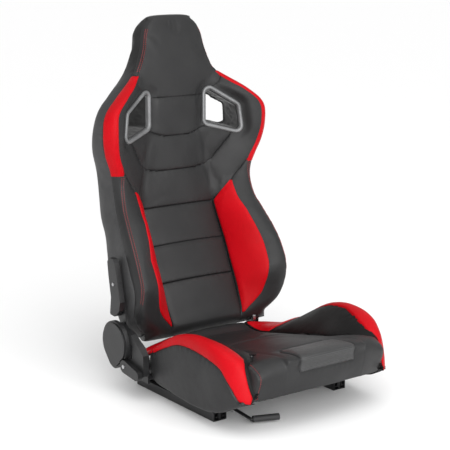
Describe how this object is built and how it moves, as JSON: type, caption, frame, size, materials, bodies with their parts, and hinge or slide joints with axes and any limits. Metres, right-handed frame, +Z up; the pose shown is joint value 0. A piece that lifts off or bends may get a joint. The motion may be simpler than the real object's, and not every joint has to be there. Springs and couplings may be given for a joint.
{
  "type": "reclining bucket sport seat",
  "caption": "Reclining bucket sport seat with deep side bolsters, harness openings through the shoulders, red accent panels, side recliner lever and slide rails with a front release bar",
  "frame": {"origin": "centre of the four floor bolt holes, on the underside of the two lower rails", "axes": "+Z up, -Y the way the seat faces, +X towards the occupant's left; the recliner lever is on -X"},
  "size_m": [0.5482, 0.7412, 0.936],
  "materials": {
    "rail_steel": "black powder coat, slightly worn at the edges",
    "zinc": "zinc-plated steel",
    "frame_paint": "satin black paint on welded steel tube",
    "spring_steel": "oil-hardened spring wire",
    "black_leather": "smooth grained synthetic leather over foam",
    "carbon_leather": "synthetic leather embossed with a diagonal weave",
    "red_leather": "bright red grained synthetic leather",
    "liner_fabric": "thin black lining fabric glued to board",
    "silver_bezel": "satin silver-painted plastic",
    "black_plastic": "fine-grained moulded plastic",
    "grip_rubber": "soft black rubber sleeve"
  },
  "bodies": {
    "base": {"lower_rail_right": "rail_steel", "lower_rail_left": "rail_steel", "rail_stops": "rail_steel"},
    "ball_cage_right": {"ball_cage_right": "zinc"},
    "ball_cage_left": {"ball_cage_left": "zinc"},
    "seat": {"upper_rail_right": "rail_steel", "upper_rail_left": "rail_steel", "seat_frame": "frame_paint", "frame_brackets": "frame_paint", "frame_bolts": "zinc", "seat_springs": "spring_steel", "cushion_rear_pad": "black_leather", "cushion_thigh_pad": "black_leather", "carbon_insert": "carbon_leather", "cushion_bolster_right": "black_leather", "cushion_bolster_left": "black_leather", "cushion_band_right": "red_leather", "cushion_band_left": "red_leather", "cushion_side_right": "black_leather", "cushion_side_left": "black_leather", "recliner_plate_right": "frame_paint", "recliner_plate_left": "frame_paint", "recliner_housing": "black_plastic", "recliner_shield": "black_plastic", "pivot_pin_right": "zinc", "pivot_pin_left": "zinc", "latch_bearings": "frame_paint"},
    "backrest": {"back_frame": "frame_paint", "back_springs": "spring_steel", "recliner_arm_right": "frame_paint", "recliner_arm_left": "frame_paint", "recliner_spring": "spring_steel", "headrest_pad": "black_leather", "neck_pad": "black_leather", "upper_back_pad": "black_leather", "lumbar_pad_upper": "black_leather", "lumbar_pad_middle": "black_leather", "lumbar_pad_lower": "black_leather", "back_bolster_right": "black_leather", "back_bolster_left": "black_leather", "shoulder_band_right": "red_leather", "shoulder_band_left": "red_leather", "lumbar_accent_right": "red_leather", "lumbar_accent_left": "red_leather", "rear_cover": "black_leather", "harness_bezel_right": "silver_bezel", "harness_bezel_left": "silver_bezel", "harness_liner_right": "liner_fabric", "harness_liner_left": "liner_fabric", "hinge_cover": "black_plastic", "hinge_cover_screw": "zinc"},
    "recliner_lever": {"recliner_lever": "black_plastic", "lever_screw": "zinc", "sync_rod": "zinc"},
    "slider_lever": {"slider_rod": "frame_paint", "slider_grip": "grip_rubber"},
    "latch_left": {"latch_left": "frame_paint"},
    "latch_link": {"latch_link": "zinc"}
  },
  "joints": [
    {"name": "seat_slide", "type": "slide", "parent": "base", "child": "seat", "axis": [0, 1, 0], "range_m": [-0.08, 0.08]},
    {"name": "cage_slide_right", "type": "slide", "parent": "base", "child": "ball_cage_right", "axis": [0, 1, 0], "range_m": [-0.04, 0.04]},
    {"name": "cage_slide_left", "type": "slide", "parent": "base", "child": "ball_cage_left", "axis": [0, 1, 0], "range_m": [-0.04, 0.04]},
    {"name": "backrest_recline", "type": "hinge", "parent": "seat", "child": "backrest", "pos_m": [0, 0.158, 0.125], "axis": [-1, 0, 0], "range_deg": [-10, 50]},
    {"name": "lever_lift", "type": "hinge", "parent": "seat", "child": "recliner_lever", "pos_m": [-0.27, 0.112, 0.078], "axis": [-1, 0, 0], "range_deg": [0, 25], "stiffness_Nm_per_rad": 2.5, "springref_deg": -20.05},
    {"name": "release_bar_lift", "type": "hinge", "parent": "seat", "child": "slider_lever", "pos_m": [-0.15, -0.1, 0.024], "axis": [0, -1, 0], "range_deg": [0, 20], "stiffness_Nm_per_rad": 2.5, "springref_deg": -20.05},
    {"name": "left_latch_turn", "type": "hinge", "parent": "seat", "child": "latch_left", "pos_m": [0.15, -0.1, 0.024], "axis": [0, -1, 0], "range_deg": [-20, 0]},
    {"name": "link_swing", "type": "hinge", "parent": "slider_lever", "child": "latch_link", "pos_m": [-0.15, -0.07, 0.01], "axis": [0, -1, 0], "range_deg": [-20, 0]}
  ],
  "couplings": [
    {"joint": "cage_slide_right", "follows": "seat_slide", "ratio": 0.5},
    {"joint": "cage_slide_left", "follows": "seat_slide", "ratio": 0.5},
    {"joint": "left_latch_turn", "follows": "release_bar_lift", "ratio": -1},
    {"joint": "link_swing", "follows": "release_bar_lift", "ratio": -1}
  ]
}
